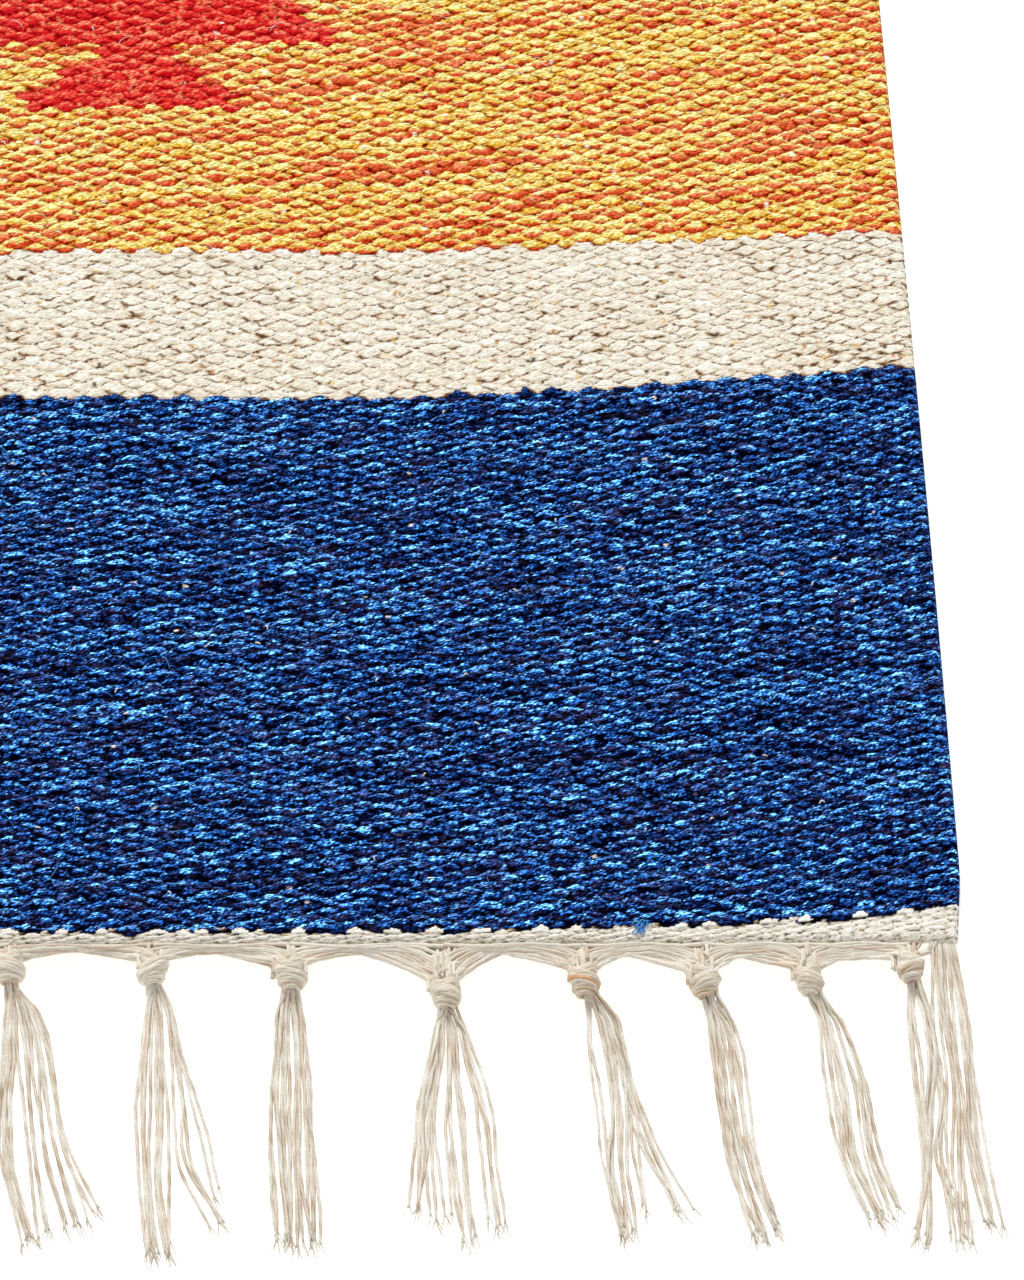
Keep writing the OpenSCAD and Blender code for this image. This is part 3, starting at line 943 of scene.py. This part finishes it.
def curve(points, count):
    """Smooth paths through a few control points, an array of strands by controls by 3."""
    controls = np.asarray(points, float)
    parts = controls.shape[1] - 1
    t = np.linspace(0, parts, count)
    piece = np.minimum(t.astype(int), parts - 1)
    share = (t - piece)[None, :, None]
    before = 2 * controls[:, :1] - controls[:, 1:2]
    beyond = 2 * controls[:, -1:] - controls[:, -2:-1]
    ends = np.concatenate([before, controls, beyond], axis=1)
    a, b, c, d = (ends[:, piece + k] for k in range(4))
    bend, turn = 2 * a - 5 * b + 4 * c - d, 3 * b - a - 3 * c + d
    return 0.5 * (2 * b + (c - a) * share + bend * share**2 + turn * share**3)


INTO_KNOT = np.array([0, -5.0, 0.2])  # from a knot's mouth to the hidden end of a web's strand
LEAST_Z = 1.0  # height of a strand's middle where it lies on the floor
CROSS_LINES = 10


def web_strands(bundle, i, seed):
    """Bare warps from the cloth's end, drawn aside along its edge and down into a knot."""
    x_knot = knot_place(i)[0]
    wide, left = TASSEL_WARPS[i] * PITCH, group_left(i)
    count = TASSEL_WARPS[i] * WEB_STRANDS
    k = np.arange(count)
    start_x = left - WEB_OVERLAP + (k + 0.5) / count * (wide + 2 * WEB_OVERLAP) + jitter(4.5, seed, k)
    start_x = np.clip(widened(start_x, np.full(count, -HALF_L)), -HALF_W + 1, HALF_W - 1)
    off = start_x - x_knot
    reach = np.where(off < 0, x_knot - left, left + wide - x_knot) + WEB_OVERLAP + 3
    mouth = mouth_depth(i)
    slack = WEB_SLACK[i] * (0.5 + 0.6 * chance(seed + 1, k))
    rise = chance(seed + 2, k)
    steps = []
    for share in np.linspace(0, 1, 8):
        gone = np.abs(off) * (1 - share)
        fall = slack + (mouth - slack) * np.clip(1 - gone / reach, 0, 1) ** 2.0
        order = np.clip((np.abs(off) - gone) / np.clip(reach - gone, 2, None), 0, 1) ** 0.75
        depth = fall * order + 0.7 * (rise - 0.5) * share * (1 - share) * 4
        tuck = 2.0 * (1 - smooth(0, 0.25, share))
        side = np.sign(off) * (gone * 0.90 + 2.4 * (1 - share) * (rise - 0.4))
        start_z = MIDDLE - 1.8 + 2.4 * chance(seed + 4, k)
        lift = start_z + (1.2 + 1.6 * rise - start_z) * smooth(0.05, 0.4, share)
        lift = lift + (2.6 + 2.8 * chance(seed + 5, k) - lift) * smooth(0.6, 1, share)
        neck = jitter(4.6, seed + 6, k) * share + 0.12 * off * share
        steps.append(np.stack([x_knot + side + neck, -HALF_L - depth + tuck, np.maximum(lift, 1)], -1))
    steps.append(steps[-1] + INTO_KNOT)
    path = curve(np.stack(steps, axis=1), 34)
    path[..., 2] = np.maximum(path[..., 2], LEAST_Z)
    bundle.add(path, WEB_R, "web", seed + 9, sides=6)


def cross_strands(bundle, i, seed):
    """Warps that run from one knot to the next along the web's hanging edge, side by side."""
    x_left, x_right = knot_place(i)[0], knot_place(i + 1)[0]
    t = np.linspace(0, 1, 40)
    x = x_left + (x_right - x_left) * t
    mouth = mouth_depth(i) + (mouth_depth(i + 1) - mouth_depth(i)) * t
    to_knot = np.abs(2 * t - 1)  # 0 midway between the knots and 1 at each
    edge = WEB_SLACK[i] + 0.8 + (mouth - WEB_SLACK[i]) * to_knot**2.6
    for j in range(CROSS_LINES):
        low = j / CROSS_LINES
        pull = to_knot**5 * low**0.5
        depth = edge * (j + 0.3) / CROSS_LINES * (1 - pull) + (mouth + 1.5 * (low - 0.4)) * pull
        wave = 0.5 * np.sin(9 * t + 6 * chance(seed, i, j))
        height = 4.2 - 1.7 * low + 0.9 * to_knot**3
        path = np.stack([x, -HALF_L - depth + wave, height], -1)
        bundle.add(path[None], CROSS_R, "web", seed + j, sides=7)


# Bands of strands round a knot: (strands, their spacing, place along the knot, share of its tilt,
# distance from the knot's middle line)
KNOT_BANDS = (
    (5, 1.05, -0.4, 1, 5.0), (4, 1.0, -3.2, -1.1, 4.0),
    (3, 1.0, 2.6, 0.3, 3.8), (2, 1.0, 4.4, 0.1, 2.6),
)
KNOT_CORE = 1.6  # distance from that line where a band's strands begin and end
KNOT_Z = 5.2  # height of its middle line
KNOT_STEPS = 44
DYED_STRAND = (DYED_KNOT, 5, 3)


def knot_strands(bundle, i, seed):
    """An overhand knot: a tilted band of strands round the bundle, with a smaller one at its neck."""
    x_knot, y_knot = knot_place(i)
    size = (0.82 + 0.022 * TASSEL_WARPS[i]) * (0.96 + 0.1 * chance(seed, i))
    tilt = (1.4 + 1.0 * chance(seed + 1, i)) * (1 if chance(seed + 2, i) < 0.7 else -1)
    t = np.linspace(0, 1, KNOT_STEPS)
    turn = np.linspace(-0.15, 1.15, KNOT_STEPS) * 2 * math.pi + 2.6
    radial = np.stack([np.cos(turn), np.zeros(KNOT_STEPS), np.sin(turn)], -1)
    ends = smooth(0, 0.12, t) * smooth(1, 0.88, t)
    for number, spacing, centre, tip_over, reach in KNOT_BANDS:
        for j in range(number):
            offset = (j - (number - 1) / 2) * spacing
            along = centre + offset + tip_over * tilt * np.cos(turn) + 0.5 * (turn - turn.mean()) / math.pi
            waist = reach * np.sqrt(np.clip(1 - (offset / (number * spacing)) ** 2 * 1.4, 0.2, 1)) * size
            radius = KNOT_CORE + (waist - KNOT_CORE) * ends
            wave = 0.25 * np.sin(turn * 2 + 6 * chance(seed + 3, i, j))
            path = np.array([x_knot, y_knot, KNOT_Z]) + radial * (radius + wave)[:, None]
            path[:, 1] -= along * size
            path[:, 2] = np.maximum(path[:, 2], LEAST_Z)
            shade = "dyed" if (i, number, j) == DYED_STRAND else "knot"
            bundle.add(path[None], KNOT_R, shade, seed + 11 + j, facing=radial[None])


SKIRT_STEPS = 64
ANY_ANGLE = 6.3  # a full turn, in radians


def skirt_strands(bundle, i, seed, per_warp=SKIRT_STRANDS):
    """The loose strands from a knot to their tips, in lanes that part and meet."""
    x_knot, y_knot = knot_place(i)
    lanes = LANES[TASSEL_LANES[i]]
    total = TASSEL_WARPS[i] * per_warp
    knotted = i < len(TASSEL_WARPS) - 1
    mouth_y = y_knot - 1.5 if knotted else -HALF_L + 3
    mean_tip = sum(lane[0] * lane[1][-1] for lane in lanes)
    shift = TIP_SHIFT[i] - EXIT_SHIFT[i] - mean_tip
    depths = np.linspace(0, 1, 5)
    t = np.linspace(0, 1, SKIRT_STEPS)
    number = 0
    for share, across, widths, reach in lanes:
        strands = max(1, round(share * total))
        middle = curve(np.stack([across, depths, depths], -1)[None], SKIRT_STEPS)[0, :, 0]
        width = np.interp(t, (0, 0.5, 1), widths) * (1.2 + 0.4 * np.sin(math.pi * t))
        for j in range(strands):
            number += 1
            spot = (2 * (j + chance(seed, i, number)) / strands - 1) * (1 + 0.2 * (number & 1))
            a, b, c = (ANY_ANGLE * chance(seed + k, i, number) for k in (1, 2, 3))
            sway = 0.7 * np.sin(4 * t + a) + 0.4 * np.sin(10 * t + b) + 0.15 * np.sin(23 * t + c)
            open_out = 0.25 + 0.75 * smooth(-0.02, 0.15, t) if knotted else 1.0
            x = x_knot + (EXIT_SHIFT[i] + middle + spot * width) * open_out + shift * t**1.6
            x = x + sway * smooth(0, 0.4, t) + 1.4 * smooth(0.8, 1, t) * np.sin(c)
            ring = 0.6 + 2.0 * chance(seed + 7, i, number)
            round_x, round_z = ring * np.cos(a), ring * np.sin(a)
            x = x + round_x * smooth(0.14, 0, t) * knotted
            tip = reach * TIP_L + 5 * (chance(seed + 4, i, number) - 0.6)
            y = mouth_y + t * (-HALF_L - tip - mouth_y)
            layer = 0.95 + 2.0 * chance(seed + 5, i, number) ** 2
            lie = layer + 0.5 * np.sin(7 * t + b)
            start = 4.5 + round_z if knotted else MIDDLE
            z = np.maximum(start + (lie - start) * smooth(0, 0.16, t), 0.92)
            path = np.stack([x, y, z], -1)[None]
            thick = STRAND_R * (0.85 + 0.25 * chance(seed + 6, i, number))
            thin = thick * (1 - 0.45 * smooth(0.93, 1, t))[None]
            bundle.add(path, thin, "fringe", seed + 13 + number, lay=9)
            fray(bundle, path[0], seed + 90 + number)


FRAY_FIBRES = 4


def fray(bundle, path, seed):
    """Loose fibres that open out of a strand's cut tip."""
    t = np.linspace(0, 1, 7)[:, None]
    tip, run = path[-3], path[-1] - path[-4]
    run = run / np.linalg.norm(run)
    for k in range(FRAY_FIBRES):
        side = np.array([chance(seed, k, 1) - 0.5, 0, 0.35 * (chance(seed, k, 2) - 0.5)]) * 2
        length = 3.5 + 5.0 * chance(seed, k, 3)
        fibre = tip + t * length * run + side * t**1.5 * length * 0.38
        fibre[:, 2] = np.maximum(fibre[:, 2], 0.35)
        bundle.add(fibre[None], 0.30 * (1 - 0.6 * t[:, 0])[None], "fringe", seed, sides=4, lobes=0)


def make_fringes():
    fringe = yarn_material("fringe_cord")
    made = {"front": [], "back": []}
    last = len(TASSEL_WARPS) - 1
    for end, pieces in made.items():
        turned = end == "back"

        def add(bundle, name, node):
            pieces.append(bundle.piece(name, fringe, "fringe_cord", [node], turned))

        web = Bundle()
        for i in range(last):
            web_strands(web, i, 200 + 17 * i + 500 * turned)
        for i in range(last - 1):
            cross_strands(web, i, 700 + 17 * i + 500 * turned)
        add(web, f"web_{end}_strands", f"warp_web_{end}")
        for i in range(last):
            tassel = Bundle()
            knot_strands(tassel, i, 3000 + 31 * i + 700 * turned)
            skirt_strands(tassel, i, 6000 + 41 * i + 900 * turned)
            node = f"tassel_{end}_{i + 1:02d}"
            add(tassel, node + "_strands", node)
        ends = Bundle()
        skirt_strands(ends, last, 9000 + 900 * turned, per_warp=6)
        add(ends, f"loose_ends_{end}_strands", f"loose_ends_{end}")
    return made


WARP_STEPS = 180


def make_warps():
    """The doubled warp cords inside the cloth, waving over and under the picks."""
    cords = Bundle()
    y = np.linspace(-HALF_L + 2.5, HALF_L - 2.5, WARP_STEPS)
    for i in range(WARPS):
        x = (i + 0.5) * PITCH - HALF_W
        wave = 0.25 * np.sin(y / 9 + math.pi * i)
        path = np.stack([np.full(WARP_STEPS, x), y, MIDDLE + wave], -1)[None]
        cords.add(path, WARP_R, "fringe", 400 + i, sides=6, lobes=0.16, lay=4.5)
    material = yarn_material("warp_cord")
    return cords.piece("warp_cords_plied", material, "warp_cord", ["warp_cords"], False)


LINT_AREA = 900.0  # square mm of cloth to each loose fibre
LINT_MARGIN = 15
TUFT_SHIFT = 22.0  # the blue tuft's place, to the right of the dyed knot
TUFT_FIBRES = 20


def loose_fibre(bundle, x, y, length, radius, shade, seed):
    """A short curled fibre that lies on the weave."""
    t = np.linspace(0, 1, 9)
    turn = ANY_ANGLE * chance(seed, 1) + jitter(3.4, seed, 2) * t
    run = length / (len(t) - 1)
    rise = MIDDLE + 3.1 + (0.3 + 0.9 * chance(seed, 3)) * np.sin(math.pi * t)
    path = np.stack([x + run * np.cumsum(np.cos(turn)), y + run * np.cumsum(np.sin(turn)), rise], -1)
    bundle.add(path[None], radius, shade, seed, sides=5, lobes=0)


def make_lint():
    """Loose fibres and specks of lint all over the top of the cloth."""
    lint = Bundle()
    wide, long = 2 * (HALF_W - LINT_MARGIN), 2 * (HALF_L - LINT_MARGIN)
    count = int(wide * long / LINT_AREA)
    for k in range(count):
        x, y = (chance(901, k) - 0.5) * wide, (chance(902, k) - 0.5) * long
        in_blue = HALF_L - abs(y) < BLUE_END
        speck = chance(903, k) < 0.4
        length = 1.0 + 1.2 * chance(904, k) if speck else 2.5 + 6.0 * chance(904, k)
        radius = 0.30 if speck else 0.11
        shade = "blue_lint" if in_blue and not speck else "lint"
        loose_fibre(lint, x, y, length, radius, shade, 5000 + k)
    x_tuft = knot_place(DYED_KNOT)[0] + TUFT_SHIFT
    for k in range(TUFT_FIBRES):
        along = jitter(2.4, 911, k)
        up = 4 * chance(912, k)
        loose_fibre(lint, x_tuft + along, up + HEADING_L - HALF_L - 1, 2.6, 0.26, "blue_lint", 8000 + k)
    material = yarn_material("lint")
    return lint.piece("loose_fibres", material, "cream_weft", (), False)


# --- Stage, light and camera ---
FLOOR_HALF = 60  # metres
FLOOR_Z = -0.3 * MM  # clear of the cloth's lowest points, which are at 0


def make_stage():
    mesh = bpy.data.meshes.new("floor")
    corners = [(x * FLOOR_HALF, y * FLOOR_HALF, 0) for x, y in ((-1, -1), (1, -1), (1, 1), (-1, 1))]
    mesh.from_pydata(corners, [], [(0, 1, 2, 3)])
    floor = new_object("floor", mesh)
    floor.location.z = FLOOR_Z
    mesh.materials.append(floor_material())


SKY_STRENGTH, KEY_STRENGTH = 0.55, 2.0
KEY_ANGLE = 0.35  # how wide the key light looks, in radians
KEY_TURN, KEY_TILT = math.radians(14), math.radians(44)  # it shines from behind, a little to one side


def make_light():
    world = bpy.data.worlds.new("studio")
    bpy.context.scene.world = world
    world.use_nodes = True
    back = world.node_tree.nodes["Background"]
    set_inputs(back, Color=(1, 1, 1, 1), Strength=SKY_STRENGTH)
    lamp = bpy.data.lights.new("key", "SUN")
    lamp.energy = KEY_STRENGTH
    lamp.angle = KEY_ANGLE
    key = new_object("key", lamp)
    key.matrix_world = Matrix.Rotation(KEY_TURN, 4, "Z") @ Matrix.Rotation(-KEY_TILT, 4, "X")
    bpy.context.scene.view_settings.view_transform = "Standard"


CAMERA_DROP = math.radians(58)  # below the horizon
CAMERA_TURN = math.radians(3.60)  # to the right of the rug's length
CAMERA_PLACE = (0, -1.963, 1.914)
LENS = 169.6


def make_camera():
    data = bpy.data.cameras.new("camera")
    data.sensor_width = 36
    data.lens = LENS
    camera = new_object("camera", data)
    tip_down = Matrix.Rotation(math.pi / 2 - CAMERA_DROP, 4, "X")
    turn = Matrix.Rotation(-CAMERA_TURN, 4, "Y")
    camera.matrix_world = Matrix.Translation(CAMERA_PLACE) @ tip_down @ turn
    bpy.context.scene.camera = camera


def declare(headings, fringes, warps, lint):
    """Lists what lies on the cloth: each end's heading and fringes with its blue band, and the warps and
    lint with the gold field's middle. Nothing reads the list.
    """
    extras = {f"blue_band_{end}_cloth": [headings[end], *fringes[end]] for end in fringes}
    extras["gold_field_middle"] = [warps, lint]


make_stage()
make_light()
make_camera()
headings, sheets = make_cloth()
fringes = make_fringes()
warps = make_warps()
lint = make_lint()
declare(headings, fringes, warps, lint)
